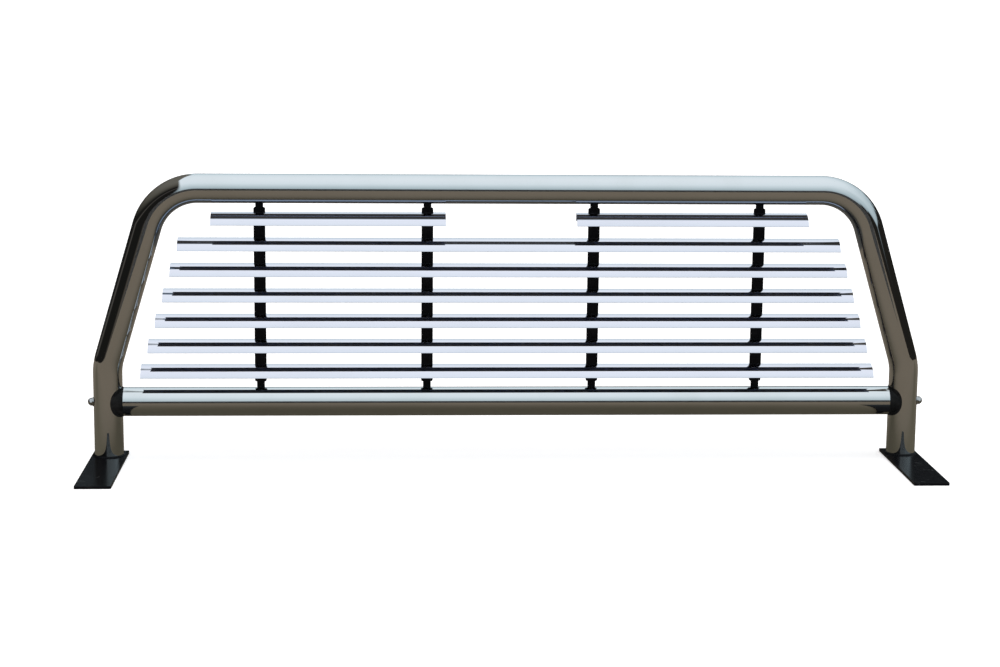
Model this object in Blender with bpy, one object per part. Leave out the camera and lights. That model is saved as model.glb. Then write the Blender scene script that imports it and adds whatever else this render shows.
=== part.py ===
"""Pickup headache rack: a bent tube hoop on two foot plates, with a louvered panel above a cross tube.

Lengths are in metres. The rack faces -Y, its width runs along X and it stands on the plane z = 0.
"""
import math

import bmesh
import bpy
from mathutils import Matrix

# Hoop and cross tube
TUBE_OD = 0.0635
TUBE_WALL = 0.0020
LEG_SPACING = 1.7550          # between the two leg axes
HOOP_HEIGHT = 0.5877          # top tube axis above the foot plates
KNEE_HEIGHT = 0.2013          # where the leg starts to lean inwards
LEAN_ANGLE = math.radians(16.64)
KNEE_BEND_RADIUS = 0.1300     # bend radii are those of the tube's axis
TOP_BEND_RADIUS = 0.1140
CROSS_TUBE_HEIGHT = 0.1193    # cross tube axis above the foot plates

# Foot plates
FOOT_WIDTH = 0.0762
FOOT_LENGTH = 0.3300
FOOT_THICKNESS = 0.00635
FOOT_BEHIND_LEG = 0.0440      # from the leg axis back to the plate's rear edge
FOOT_EDGE_BEVEL = 0.0008
WELD_SIZE = 0.0050            # height and width of the bead round the leg
WELD_THROAT = 0.4             # how far out the hollow bead is at half height, as a share of its width

# Louvers: curved blades with a flat flange along the rear edge
LOUVER_ROWS = 7
LOUVER_RADIUS = 0.0425
LOUVER_LOW_ANGLE = math.radians(22.6)     # how far the face tips up at its front edge
LOUVER_HIGH_ANGLE = math.radians(83.0)    # and at its rear edge
LOUVER_THICKNESS = 0.0020
LOUVER_FLANGE_HEIGHT = 0.0180
LOUVER_REAR_Y = 0.0062        # rear face, behind the plane of the tube axes
LOWEST_LOUVER_RISE = 0.0824   # from the cross tube axis up to the lowest rear edge
HIGHEST_LOUVER_DROP = 0.0513  # from the top tube axis down to the highest rear edge
LOUVER_END_GAP = 0.0395       # from a louver's end to the leaning leg beside it
TOP_LOUVER_END_GAP = 0.0950   # the same for the top row, which clears the bend
LAMP_WINDOW_WIDTH = 0.2846    # opening for a high stop lamp, between the two top louvers

# Support strips behind the louvers
STRIP_WIDTH = 0.0254
STRIP_THICKNESS = 0.0040
TONGUE_WIDTH = 0.0170
TONGUE_INSERTION = 0.0100     # how deep a tongue goes into a tube
UPPER_NECK = 0.0095           # bare tongue between the top tube and the shoulder
LOWER_NECK = 0.0157           # and between the cross tube and the shoulder
INNER_STRIP_INSET = 0.0395    # from the lamp window's edge to a strip's middle
OUTER_STRIP_INSET = 0.1036    # from the top louver's outer end to a strip's middle

# Rivets that hold the louvers on the strips
RIVET_DIAMETER = 0.0048
RIVET_HEAD_DIAMETER = 0.0095
RIVET_HEAD_HEIGHT = 0.0022
RIVET_TAIL_DIAMETER = 0.0070
RIVET_TAIL_LENGTH = 0.0032
RIVET_DROP = 0.0105           # from a louver's rear edge down to the rivet
RIVET_TAIL_TAPER = 0.8        # width of the tail's end, as a share of the tail
RIVET_CROWN = ((0.7, 0.75), (1.0, 0.4))   # rise and radius along the domed head, as shares of it

# Joints between the cross tube and the legs
SADDLE_WEB = 0.0030           # saddle thickness where tube end and leg come closest
SADDLE_WRAP = 0.0200          # how far the saddle's wings reach round the leg
SPIGOT_LENGTH = 0.0180
PLUG_THICKNESS = 0.0150
STUD_DIAMETER = 0.0095
WASHER_DIAMETER = 0.0200
WASHER_RISE = 0.0022          # washer thickness over the leg's outermost line
NUT_ACROSS_FLATS = 0.0160
NUT_HEX_HEIGHT = 0.0052
NUT_DOME_HEIGHT = 0.0048
NUT_WALL = 0.0025             # metal left over the end of the blind hole
NUT_DOME_SHARE = 0.94         # dome's width at its foot, as a share of the width across flats

# Fits and facets
CLEARANCE = 0.0003
TUBE_SIDES = 32
SMALL_SIDES = 12
BEND_STEP = math.radians(7.5)
LOUVER_ARC_STEPS = 10
NUT_SIDE_STEPS = 4
DOME_STEPS = 4
SHARP_ANGLE = math.radians(32)

# Values that follow from the sizes above
TUBE_RADIUS = TUBE_OD / 2
TUBE_BORE_RADIUS = TUBE_RADIUS - TUBE_WALL
LEG_X = LEG_SPACING / 2
RACK_Y = FOOT_LENGTH / 2 - FOOT_BEHIND_LEG
STUD_HOLE_RADIUS = STUD_DIAMETER / 2 + CLEARANCE
RIVET_HOLE_RADIUS = RIVET_DIAMETER / 2 + CLEARANCE
STRIP_FRONT_Y = LOUVER_REAR_Y + CLEARANCE
STRIP_BACK_Y = STRIP_FRONT_Y + STRIP_THICKNESS
CROSS_TUBE_END = TUBE_RADIUS + SADDLE_WEB   # from the leg axis to the end of the cross tube

SIDES = {"left": -1, "right": 1}


def leg_axis_x(height):
    """Distance of a leg's axis from the middle of the rack, with the knee taken as a sharp corner."""
    return LEG_X - max(0.0, height - KNEE_HEIGHT) * math.tan(LEAN_ANGLE)


def louver_rear_edge_z(row):
    """Height of a louver's rear edge above the foot plates; row 1 is the highest."""
    lowest = CROSS_TUBE_HEIGHT + LOWEST_LOUVER_RISE
    highest = HOOP_HEIGHT - HIGHEST_LOUVER_DROP
    return highest - (row - 1) * (highest - lowest) / (LOUVER_ROWS - 1)


def louver_end_x(row):
    """Distance of a louver's outer end from the middle of the rack."""
    gap = TOP_LOUVER_END_GAP if row == 1 else LOUVER_END_GAP
    return leg_axis_x(louver_rear_edge_z(row)) - TUBE_RADIUS / math.cos(LEAN_ANGLE) - gap


def strip_positions():
    """The X of the four support strips, from left to right."""
    inner = LAMP_WINDOW_WIDTH / 2 + INNER_STRIP_INSET
    outer = louver_end_x(1) - OUTER_STRIP_INSET
    return [-outer, -inner, inner, outer]


def finish_material(name, colour, roughness, metallic):
    material = bpy.data.materials.new(name)
    material.use_nodes = True
    shader = material.node_tree.nodes["Principled BSDF"]
    shader.inputs["Base Color"].default_value = (*colour, 1.0)
    shader.inputs["Roughness"].default_value = roughness
    shader.inputs["Metallic"].default_value = metallic
    return material


def mesh_from(bm, name):
    """Turn a bmesh of closed bodies into a mesh with outward faces and smooth round sides."""
    bmesh.ops.recalc_face_normals(bm, faces=bm.faces)
    mesh = bpy.data.meshes.new(name)
    bm.to_mesh(mesh)
    bm.free()
    mesh.shade_smooth()
    mesh.set_sharp_from_angle(angle=SHARP_ANGLE)
    return mesh


def skinned(name, rings, joined=False):
    """A closed surface through rings of points: capped at both ends, or the last ring joined to the first."""
    bm = bmesh.new()
    loops = [[bm.verts.new(point) for point in ring] for ring in rings]
    pairs = list(zip(loops, loops[1:]))
    if joined:
        pairs.append((loops[-1], loops[0]))
    else:
        bm.faces.new(loops[0])
        bm.faces.new(loops[-1])
    for here, there in pairs:
        for i in range(len(here)):
            j = (i + 1) % len(here)
            bm.faces.new((here[i], here[j], there[j], there[i]))
    return mesh_from(bm, name)


def circle(x, radius, sides):
    """Points of a ring round the X axis."""
    angles = [math.tau * i / sides for i in range(sides)]
    return [(x, radius * math.cos(a), radius * math.sin(a)) for a in angles]


def turned(name, profile, sides, bored=False):
    """A body turned about the X axis from (x, radius) pairs; a bored one has a hole right through."""
    return skinned(name, [circle(x, radius, sides) for x, radius in profile], joined=bored)


def merged(name, placed_meshes):
    """One mesh that holds several meshes, each moved by its own matrix."""
    bm = bmesh.new()
    for mesh, matrix in placed_meshes:
        moved = mesh.copy()
        moved.transform(matrix)
        bm.from_mesh(moved)
    return mesh_from(bm, name)


def place(name, mesh, material, parent, location=(0, 0, 0), turn=0.0):
    """Put a mesh in the scene as one named piece, turned about Z."""
    piece = bpy.data.objects.new(name, mesh)
    bpy.context.scene.collection.objects.link(piece)
    piece.parent = parent
    piece.location = location
    piece.rotation_euler = (0, 0, turn)
    if material and not mesh.materials:
        mesh.materials.append(material)
    return piece


def place_empty(name, parent, location, turn=0.0):
    empty = bpy.data.objects.new(name, None)
    bpy.context.scene.collection.objects.link(empty)
    empty.parent = parent
    empty.location = location
    empty.rotation_euler = (0, 0, turn)
    return empty


def combine(piece, tool_mesh, operation, location=(0, 0, 0)):
    """Cut a tool out of a piece, or weld it on, with a Boolean modifier."""
    tool = place(f"{piece.name}_{operation.lower()}", tool_mesh, None, piece.parent, location)
    tool.rotation_euler = piece.rotation_euler
    tool.hide_render = True
    tool.display_type = "WIRE"
    modifier = piece.modifiers.new(operation.title(), "BOOLEAN")
    modifier.operation = operation
    modifier.object = tool
    modifier.solver = "EXACT"


def box_mesh(name, low, high):
    """A box between two corners."""
    (x0, y0, z0), (x1, y1, z1) = low, high
    base = [(x0, y0), (x1, y0), (x1, y1), (x0, y1)]
    return skinned(name, [[(x, y, z) for x, y in base] for z in (z0, z1)])


def rod_mesh(name, length, radius, sides):
    """A rod along X with its middle at the origin."""
    return turned(name, [(-length / 2, radius), (length / 2, radius)], sides)


def leg_tool():
    """A vertical rod a little thicker than a leg, to cope the pieces that bear on it."""
    rod = rod_mesh("leg_tool", 4 * TUBE_OD, TUBE_RADIUS + CLEARANCE, TUBE_SIDES)
    rod.transform(Matrix.Rotation(math.pi / 2, 4, "Y"))
    return rod


def rounded_path(corners, radii):
    """Points and directions in the XZ plane along a line whose inner corners are bends."""
    steps = [(corners[0], direction(corners[0], corners[1]))]
    for before, corner, after, radius in zip(corners, corners[1:], corners[2:], radii):
        come = direction(before, corner)
        leave = direction(corner, after)
        turn = math.atan2(come[0] * leave[1] - come[1] * leave[0], come[0] * leave[0] + come[1] * leave[1])
        reach = radius * math.tan(abs(turn) / 2)
        side = math.copysign(1, turn)
        centre = (corner[0] - come[0] * reach - side * come[1] * radius,
                  corner[1] - come[1] * reach + side * come[0] * radius)
        count = math.ceil(abs(turn) / BEND_STEP)
        for i in range(count + 1):
            angle = turn * i / count
            way = (come[0] * math.cos(angle) - come[1] * math.sin(angle),
                   come[0] * math.sin(angle) + come[1] * math.cos(angle))
            steps.append(((centre[0] + side * way[1] * radius, centre[1] - side * way[0] * radius), way))
    steps.append((corners[-1], direction(corners[-2], corners[-1])))
    return steps


def direction(start, end):
    length = math.dist(start, end)
    return ((end[0] - start[0]) / length, (end[1] - start[1]) / length)


def swept_ring(step, radius):
    """A ring of the tube, square to its path."""
    (x, z), (dx, dz) = step
    angles = [math.tau * i / TUBE_SIDES for i in range(TUBE_SIDES)]
    return [(x + radius * math.sin(a) * dz, radius * math.cos(a), z - radius * math.sin(a) * dx)
            for a in angles]


def strip_slots(height):
    """Boxes for the four tongues, through the tube wall at the given height."""
    half_width = TONGUE_WIDTH / 2 + CLEARANCE
    low = (-half_width, STRIP_FRONT_Y - CLEARANCE, -TUBE_RADIUS / 2)
    high = (half_width, STRIP_BACK_Y + CLEARANCE, TUBE_RADIUS / 2)
    slot = box_mesh("slot", low, high)
    return [(slot, Matrix.Translation((x, 0, height))) for x in strip_positions()]


def make_hoop(rack, polished):
    """The hoop: one tube bent four times, drilled for the studs and slotted under its top run."""
    top_x = leg_axis_x(HOOP_HEIGHT)
    half = [(LEG_X, CLEARANCE), (LEG_X, KNEE_HEIGHT), (top_x, HOOP_HEIGHT)]
    corners = [(-x, z) for x, z in half] + half[::-1]
    radii = [KNEE_BEND_RADIUS, TOP_BEND_RADIUS, TOP_BEND_RADIUS, KNEE_BEND_RADIUS]
    path = rounded_path(corners, radii)
    outside = [swept_ring(step, TUBE_RADIUS) for step in path]
    inside = [swept_ring(step, TUBE_BORE_RADIUS) for step in reversed(path)]
    hoop = place("hoop_tube", skinned("hoop_tube", outside + inside, joined=True), polished, rack)
    drill = rod_mesh("stud_drill", 2 * TUBE_OD, STUD_HOLE_RADIUS, SMALL_SIDES)
    holes = [(drill, Matrix.Translation((side * LEG_X, 0, CROSS_TUBE_HEIGHT))) for side in SIDES.values()]
    slots = strip_slots(HOOP_HEIGHT - TUBE_RADIUS)
    combine(hoop, merged("hoop_cuts", holes + slots), "DIFFERENCE")


def make_cross_tube(rack, polished):
    """The straight tube between the legs, slotted on top for the strips."""
    half = LEG_X - CROSS_TUBE_END
    profile = [(-half, TUBE_RADIUS), (half, TUBE_RADIUS), (half, TUBE_BORE_RADIUS), (-half, TUBE_BORE_RADIUS)]
    mesh = turned("cross_tube", profile, TUBE_SIDES, bored=True)
    tube = place("cross_tube", mesh, polished, rack, (0, 0, CROSS_TUBE_HEIGHT))
    combine(tube, merged("cross_tube_slots", strip_slots(TUBE_RADIUS)), "DIFFERENCE", tube.location)


def make_foot(rack, side, black):
    """A foot plate with the weld bead that its leg stands in."""
    low = (-FOOT_WIDTH / 2, FOOT_BEHIND_LEG - FOOT_LENGTH, -FOOT_THICKNESS)
    high = (FOOT_WIDTH / 2, FOOT_BEHIND_LEG, 0)
    name = f"foot_plate_{side}"
    foot = place(name, box_mesh(name, low, high), black, rack, (SIDES[side] * LEG_X, 0, 0))
    bevel = foot.modifiers.new("Edges", "BEVEL")
    bevel.width = FOOT_EDGE_BEVEL
    bevel.segments = 1
    inner = TUBE_RADIUS + CLEARANCE
    sunk = FOOT_THICKNESS / 2
    bead = [(-sunk, inner), (WELD_SIZE, inner), (WELD_SIZE / 2, inner + WELD_SIZE * WELD_THROAT),
            (0, inner + WELD_SIZE), (-sunk, inner + WELD_SIZE)]
    ring = turned("weld_bead", bead, TUBE_SIDES, bored=True)
    ring.transform(Matrix.Rotation(-math.pi / 2, 4, "Y"))
    combine(foot, ring, "UNION", foot.location)


def make_leg_joint(rack, side, black, steel):
    """Saddle, threaded plug, stud, washer and cap nut; X runs out from the leg axis here."""
    turn = 0.0 if side == "right" else math.pi
    joint = place_empty(f"joint_{side}", rack, (SIDES[side] * LEG_X, 0, CROSS_TUBE_HEIGHT), turn)
    fit_radius = TUBE_BORE_RADIUS - CLEARANCE
    seat = -CROSS_TUBE_END + CLEARANCE
    spigot_end = -CROSS_TUBE_END - SPIGOT_LENGTH
    wing_end = -TUBE_RADIUS + SADDLE_WRAP
    profile = [(wing_end, STUD_HOLE_RADIUS), (wing_end, TUBE_RADIUS), (seat, TUBE_RADIUS),
               (seat, fit_radius), (spigot_end, fit_radius), (spigot_end, STUD_HOLE_RADIUS)]
    saddle = place(f"saddle_{side}", turned("saddle", profile, TUBE_SIDES, bored=True), black, joint)
    combine(saddle, leg_tool(), "DIFFERENCE")

    plug_outer = spigot_end - CLEARANCE
    plug_inner = plug_outer - PLUG_THICKNESS
    profile = [(plug_outer, STUD_HOLE_RADIUS), (plug_outer, fit_radius),
               (plug_inner, fit_radius), (plug_inner, STUD_HOLE_RADIUS)]
    place(f"end_plug_{side}", turned("end_plug", profile, TUBE_SIDES, bored=True), steel, joint)

    washer_face = TUBE_RADIUS + WASHER_RISE
    washer_root = math.sqrt(TUBE_RADIUS ** 2 - (WASHER_DIAMETER / 2) ** 2) - WASHER_RISE
    profile = [(washer_root, STUD_HOLE_RADIUS), (washer_root, WASHER_DIAMETER / 2),
               (washer_face, WASHER_DIAMETER / 2), (washer_face, STUD_HOLE_RADIUS)]
    washer = place(f"saddle_washer_{side}", turned("washer", profile, TUBE_SIDES, bored=True), steel, joint)
    combine(washer, leg_tool(), "DIFFERENCE")

    nut_base = washer_face + CLEARANCE
    hole_end = nut_base + NUT_HEX_HEIGHT + NUT_DOME_HEIGHT - NUT_WALL
    place(f"cap_nut_{side}", cap_nut_mesh(nut_base, hole_end), steel, joint)
    profile = [(plug_inner, STUD_DIAMETER / 2), (hole_end - CLEARANCE, STUD_DIAMETER / 2)]
    place(f"stud_{side}", turned("stud", profile, SMALL_SIDES), steel, joint)


def hexagon(x, across_flats):
    """Points of a hexagon round the X axis, with a few on each side."""
    count = 6 * NUT_SIDE_STEPS
    points = []
    for i in range(count):
        angle = math.tau * i / count
        from_flat = (angle % (math.tau / 6)) - math.tau / 12
        radius = across_flats / 2 / math.cos(from_flat)
        points.append((x, radius * math.cos(angle), radius * math.sin(angle)))
    return points


def cap_nut_mesh(base, hole_end):
    """A hexagon nut closed by a dome, with a blind hole for the stud."""
    sides = 6 * NUT_SIDE_STEPS
    top = base + NUT_HEX_HEIGHT
    dome_radius = NUT_ACROSS_FLATS / 2 * NUT_DOME_SHARE
    rings = [circle(hole_end, STUD_HOLE_RADIUS, sides), circle(base, STUD_HOLE_RADIUS, sides),
             hexagon(base, NUT_ACROSS_FLATS), hexagon(top, NUT_ACROSS_FLATS)]
    for i in range(DOME_STEPS):
        rise = math.pi / 2 * i / DOME_STEPS
        rings.append(circle(top + NUT_DOME_HEIGHT * math.sin(rise), dome_radius * math.cos(rise), sides))
    return skinned("cap_nut", rings)


def louver_profile():
    """Section of a louver in Y and Z, with its rear edge at the origin."""
    centre_y = LOUVER_RADIUS * math.cos(LOUVER_HIGH_ANGLE)
    centre_z = -LOUVER_RADIUS * math.sin(LOUVER_HIGH_ANGLE)
    inner_radius = LOUVER_RADIUS - LOUVER_THICKNESS
    inner_high = math.acos((centre_y + LOUVER_THICKNESS) / inner_radius)

    def arc(radius, start, end):
        angles = [start + (end - start) * i / LOUVER_ARC_STEPS for i in range(LOUVER_ARC_STEPS + 1)]
        return [(centre_y - radius * math.cos(a), centre_z + radius * math.sin(a)) for a in angles]

    flange = [(0, -LOUVER_FLANGE_HEIGHT), (-LOUVER_THICKNESS, -LOUVER_FLANGE_HEIGHT)]
    outer = arc(LOUVER_RADIUS, LOUVER_LOW_ANGLE, LOUVER_HIGH_ANGLE)
    return outer + flange + arc(inner_radius, inner_high, LOUVER_LOW_ANGLE)


def rivet_points(x_low, x_high):
    """The strips that a louver between two ends crosses."""
    return [x for x in strip_positions() if x_low < x < x_high]


def make_louver(rack, name, row, x_low, x_high, polished):
    """One blade, drilled through its flange at each strip."""
    profile = louver_profile()
    mesh = skinned(name, [[(x, y, z) for y, z in profile] for x in (x_low, x_high)])
    louver = place(name, mesh, polished, rack, (0, LOUVER_REAR_Y, louver_rear_edge_z(row)))
    drill = rod_mesh("rivet_drill", 4 * LOUVER_THICKNESS, RIVET_HOLE_RADIUS, SMALL_SIDES)
    turn = Matrix.Rotation(math.pi / 2, 4, "Z")
    holes = [(drill, Matrix.Translation((x, 0, -RIVET_DROP)) @ turn) for x in rivet_points(x_low, x_high)]
    combine(louver, merged(f"{name}_holes", holes), "DIFFERENCE", louver.location)


def make_louvers(rack, polished):
    """Two short louvers beside the lamp window, and six full ones under them."""
    window = LAMP_WINDOW_WIDTH / 2
    make_louver(rack, "louver_1_left", 1, -louver_end_x(1), -window, polished)
    make_louver(rack, "louver_1_right", 1, window, louver_end_x(1), polished)
    for row in range(2, LOUVER_ROWS + 1):
        end = louver_end_x(row)
        make_louver(rack, f"louver_{row}", row, -end, end, polished)


def strip_outline():
    """Outline of a strip in X and Z: a flat bar with a tongue at each end."""
    upper_tube = HOOP_HEIGHT - TUBE_RADIUS
    lower_tube = CROSS_TUBE_HEIGHT + TUBE_RADIUS
    tongue = TONGUE_WIDTH / 2
    wide = STRIP_WIDTH / 2
    right = [(tongue, lower_tube - TONGUE_INSERTION), (tongue, lower_tube + LOWER_NECK),
             (wide, lower_tube + LOWER_NECK), (wide, upper_tube - UPPER_NECK),
             (tongue, upper_tube - UPPER_NECK), (tongue, upper_tube + TONGUE_INSERTION)]
    return right + [(-x, z) for x, z in reversed(right)]


def make_strips(rack, black):
    """The four flat bars that carry the louvers, drilled at each row."""
    outline = strip_outline()
    drill = rod_mesh("strip_drill", 4 * STRIP_THICKNESS, RIVET_HOLE_RADIUS, SMALL_SIDES)
    turn = Matrix.Rotation(math.pi / 2, 4, "Z")
    middle = (STRIP_FRONT_Y + STRIP_BACK_Y) / 2
    for number, x in enumerate(strip_positions(), start=1):
        name = f"support_strip_{number}"
        mesh = skinned(name, [[(a, y, z) for a, z in outline] for y in (STRIP_FRONT_Y, STRIP_BACK_Y)])
        strip = place(name, mesh, black, rack, (x, 0, 0))
        heights = [louver_rear_edge_z(row) - RIVET_DROP for row in range(1, LOUVER_ROWS + 1)]
        holes = [(drill, Matrix.Translation((0, middle, z)) @ turn) for z in heights]
        combine(strip, merged(f"{name}_holes", holes), "DIFFERENCE", strip.location)


def make_rivets(rack, steel):
    """A rivet at each crossing of louver and strip, its head behind the strip."""
    shank = RIVET_DIAMETER / 2
    head = RIVET_HEAD_DIAMETER / 2
    tail = RIVET_TAIL_DIAMETER / 2
    tail_seat = -LOUVER_THICKNESS - CLEARANCE
    head_seat = CLEARANCE + STRIP_THICKNESS + CLEARANCE
    tail_end = tail_seat - RIVET_TAIL_LENGTH
    profile = [(tail_end, tail * RIVET_TAIL_TAPER), ((tail_end + tail_seat) / 2, tail), (tail_seat, tail),
               (tail_seat, shank), (head_seat, shank), (head_seat, head)]
    profile += [(head_seat + RIVET_HEAD_HEIGHT * rise, head * share) for rise, share in RIVET_CROWN]
    mesh = turned("rivet", profile, SMALL_SIDES)
    for row in range(1, LOUVER_ROWS + 1):
        for number, x in enumerate(strip_positions(), start=1):
            location = (x, LOUVER_REAR_Y, louver_rear_edge_z(row) - RIVET_DROP)
            place(f"rivet_{row}_{number}", mesh, steel, rack, location, math.pi / 2)


def main():
    for old in list(bpy.data.objects):
        bpy.data.objects.remove(old)
    polished_tube = finish_material("polished_tube", (0.62, 0.62, 0.61), 0.08, 1.0)
    polished_louver = finish_material("polished_louver", (0.80, 0.81, 0.84), 0.12, 1.0)
    black_paint = finish_material("black_paint", (0.012, 0.012, 0.013), 0.42, 0.0)
    black_plastic = finish_material("black_plastic", (0.015, 0.015, 0.016), 0.60, 0.0)
    plain_steel = finish_material("plain_steel", (0.55, 0.55, 0.55), 0.25, 1.0)

    rack = place_empty("rack", None, (0, RACK_Y, FOOT_THICKNESS))
    make_hoop(rack, polished_tube)
    make_cross_tube(rack, polished_tube)
    for side in SIDES:
        make_foot(rack, side, black_paint)
        make_leg_joint(rack, side, black_plastic, plain_steel)
    make_louvers(rack, polished_louver)
    make_strips(rack, black_paint)
    make_rivets(rack, plain_steel)


main()
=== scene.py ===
# %% [markdown]
# # A polished headache rack
# This lesson dresses a pickup truck's headache rack: a bent tube hoop on two black feet, a cross
# tube bolted between its legs, and curved louvers riveted to black strips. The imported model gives
# every place and size, so the first cell loads it and keeps its box. Nothing below moves that
# model: new pieces are fitted to it.

# %% Load the frame
import math

import bpy
from mathutils import Matrix, Vector


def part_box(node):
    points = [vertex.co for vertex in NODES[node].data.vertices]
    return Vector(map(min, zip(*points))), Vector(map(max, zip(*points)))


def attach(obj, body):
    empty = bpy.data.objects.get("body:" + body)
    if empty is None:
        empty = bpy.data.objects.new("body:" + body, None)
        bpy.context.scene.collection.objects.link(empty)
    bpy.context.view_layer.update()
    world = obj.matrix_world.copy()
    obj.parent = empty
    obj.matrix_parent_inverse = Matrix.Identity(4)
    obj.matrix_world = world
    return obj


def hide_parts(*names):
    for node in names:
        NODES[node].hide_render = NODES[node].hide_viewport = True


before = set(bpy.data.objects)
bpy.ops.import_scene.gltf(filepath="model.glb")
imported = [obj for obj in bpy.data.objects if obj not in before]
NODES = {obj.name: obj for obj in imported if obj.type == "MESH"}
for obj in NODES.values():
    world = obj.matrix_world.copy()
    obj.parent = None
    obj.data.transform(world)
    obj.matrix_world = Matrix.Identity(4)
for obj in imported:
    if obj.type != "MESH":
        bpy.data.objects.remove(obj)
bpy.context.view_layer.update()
print("nodes loaded:", len(NODES))

# %% [markdown]
# ## Sizes that the pieces share
# A bent tube is described by where its axis runs. Those few sizes are written here once, in metres,
# and the rest is read from the frame: the plane that the tube axes lie in, the heights of the two
# tubes and the places of the strips. A bend between two straight runs starts at its own reach from
# the point where their axes would meet.

# %% Shared sizes
CLEARANCE = 0.0003
FOOT_THICKNESS = 0.00635
TUBE_WALL = 0.0020
LEAN = math.radians(16.64)
KNEE_RADIUS = 0.130
CORNER_RADIUS = 0.114
KNEE_RISE = 0.2013
STRIP_THICKNESS = 0.0040

hoop_low, hoop_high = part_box("hoop_tube")
cross_low, cross_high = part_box("cross_tube")
TUBE_RADIUS = (cross_high.z - cross_low.z) / 2
RACK_Y = (hoop_low.y + hoop_high.y) / 2
LEG_X = hoop_high.x - TUBE_RADIUS
LEG_FOOT = hoop_low.z
KNEE_Z = FOOT_THICKNESS + KNEE_RISE
TOP_Z = hoop_high.z - TUBE_RADIUS
CROSS_Z = (cross_low.z + cross_high.z) / 2
CORNER_TURN = math.pi / 2 - LEAN
CORNER_REACH = CORNER_RADIUS * math.tan(CORNER_TURN / 2)
CORNER_CENTRE_X = LEG_X - (TOP_Z - KNEE_Z) * math.tan(LEAN) - CORNER_REACH
CORNER_CENTRE_Z = TOP_Z - CORNER_RADIUS
STRIPS = [f"support_strip_{number}" for number in range(1, 5)]
STRIP_X = [sum(corner.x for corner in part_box(name)) / 2 for name in STRIPS]
print(f"tube radius {TUBE_RADIUS:.5f}, rack plane y {RACK_Y:.4f}, legs at x {LEG_X:.4f}")

# %% [markdown]
# ## The camera
# The photograph was taken from a little left of the middle, about four and a half metres away and a
# metre up, with a long lens. The camera is placed by its position and three turns: yaw, pitch and
# roll.

# %% Camera
CAMERA_X = -0.2776
CAMERA_BACK = 4.6309
CAMERA_RISE = 1.0721
CAMERA_YAW = math.radians(3.16)
CAMERA_PITCH = math.radians(9.81)
CAMERA_ROLL = math.radians(0.53)
CAMERA_LENS = 77.22
SENSOR_WIDTH = 36.0

camera_data = bpy.data.cameras.new("camera")
camera_data.lens = CAMERA_LENS
camera_data.sensor_width = SENSOR_WIDTH
camera = bpy.data.objects.new("camera", camera_data)
bpy.context.scene.collection.objects.link(camera)
yaw = Matrix.Rotation(-CAMERA_YAW, 4, "Z")
pitch = Matrix.Rotation(math.pi / 2 - CAMERA_PITCH, 4, "X")
roll = Matrix.Rotation(CAMERA_ROLL, 4, "Z")
place = Matrix.Translation((CAMERA_X, RACK_Y - CAMERA_BACK, FOOT_THICKNESS + CAMERA_RISE))
aim = yaw @ pitch
camera.matrix_world = place @ aim @ roll
bpy.context.scene.camera = camera
print("camera at", [round(value, 3) for value in camera.matrix_world.translation])

# %% [markdown]
# ## Sums with sockets
# Shader trees get long when every sum is a node added by hand. The class below wraps one socket, so
# that an expression such as `1 - haze * 0.5` adds its own Math nodes. Any other node comes from its
# `add` method: the node's settings are set first, and then its sockets get values or links.

# %% Socket class
class Wire:
    """A node socket that can be used in sums."""

    def __init__(self, tree, socket=None):
        self.tree = tree
        self.socket = socket

    def add(self, kind, settings=None, inputs=None, out=0):
        node = self.tree.nodes.new(kind)
        for name, value in (settings or {}).items():
            if name == "stops":
                set_stops(node.color_ramp, value)
            else:
                setattr(node, name, value)
        for name, value in (inputs or {}).items():
            connect(node.inputs[name], value)
        return Wire(self.tree, node.outputs[out])

    def math(self, operation, first, second):
        return self.add("ShaderNodeMath", {"operation": operation}, {0: first, 1: second})

    def __add__(self, other):
        return self.math("ADD", self, other)

    def __sub__(self, other):
        return self.math("SUBTRACT", self, other)

    def __mul__(self, other):
        return self.math("MULTIPLY", self, other)

    def __rsub__(self, other):
        return self.math("SUBTRACT", other, self)

    __radd__ = __add__
    __rmul__ = __mul__


def set_stops(colour_ramp, stops):
    """Give a colour ramp its stops: pairs of place and colour, or of place and grey value."""
    while len(colour_ramp.elements) < len(stops):
        colour_ramp.elements.new(1.0)
    for element, (where, shade) in zip(colour_ramp.elements, stops):
        element.position = where
        element.color = (*shade, 1.0) if isinstance(shade, tuple) else (shade, shade, shade, 1.0)


def connect(socket, value):
    """Link a wire to a socket, or set the socket's own value."""
    if isinstance(value, Wire):
        value.tree.links.new(value.socket, socket)
    else:
        socket.default_value = value


# %% [markdown]
# The finishes below are all built alike: noise is spread over the piece, a mask keeps its peaks,
# and the masks then shift the colour, the roughness and the bump of one shader.

# %% Finish helpers
def new_finish(name, **constants):
    """A material, its shader with the fixed sockets set, and a wire with object coordinates."""
    material = bpy.data.materials.new(name)
    material.use_nodes = True
    shader = material.node_tree.nodes["Principled BSDF"]
    for socket, value in constants.items():
        shader.inputs[socket.replace("_", " ")].default_value = value
    return material, shader, Wire(material.node_tree).add("ShaderNodeTexCoord", out="Object")


def dress(shader, colour, roughness, normal):
    """Feed what changes over a surface into its shader."""
    connect(shader.inputs["Base Color"], colour)
    connect(shader.inputs["Roughness"], roughness)
    connect(shader.inputs["Normal"], normal)


def noise(spot, scale, detail=2.0, stretch=(1, 1, 1)):
    """Noise in features per metre, drawn out along an axis by a small stretch value."""
    mapping = {"Vector": spot, "Scale": stretch}
    spot = spot.add("ShaderNodeMapping", {"vector_type": "POINT"}, mapping)
    return spot.add("ShaderNodeTexNoise", None, {"Vector": spot, "Scale": scale, "Detail": detail})


def ramp(value, *stops):
    return value.add("ShaderNodeValToRGB", {"stops": stops}, {"Fac": value})


def mask(value, empty, full):
    """Nothing up to the first value, all from the second value on."""
    return ramp(value, (empty, 0.0), (full, 1.0))


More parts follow.
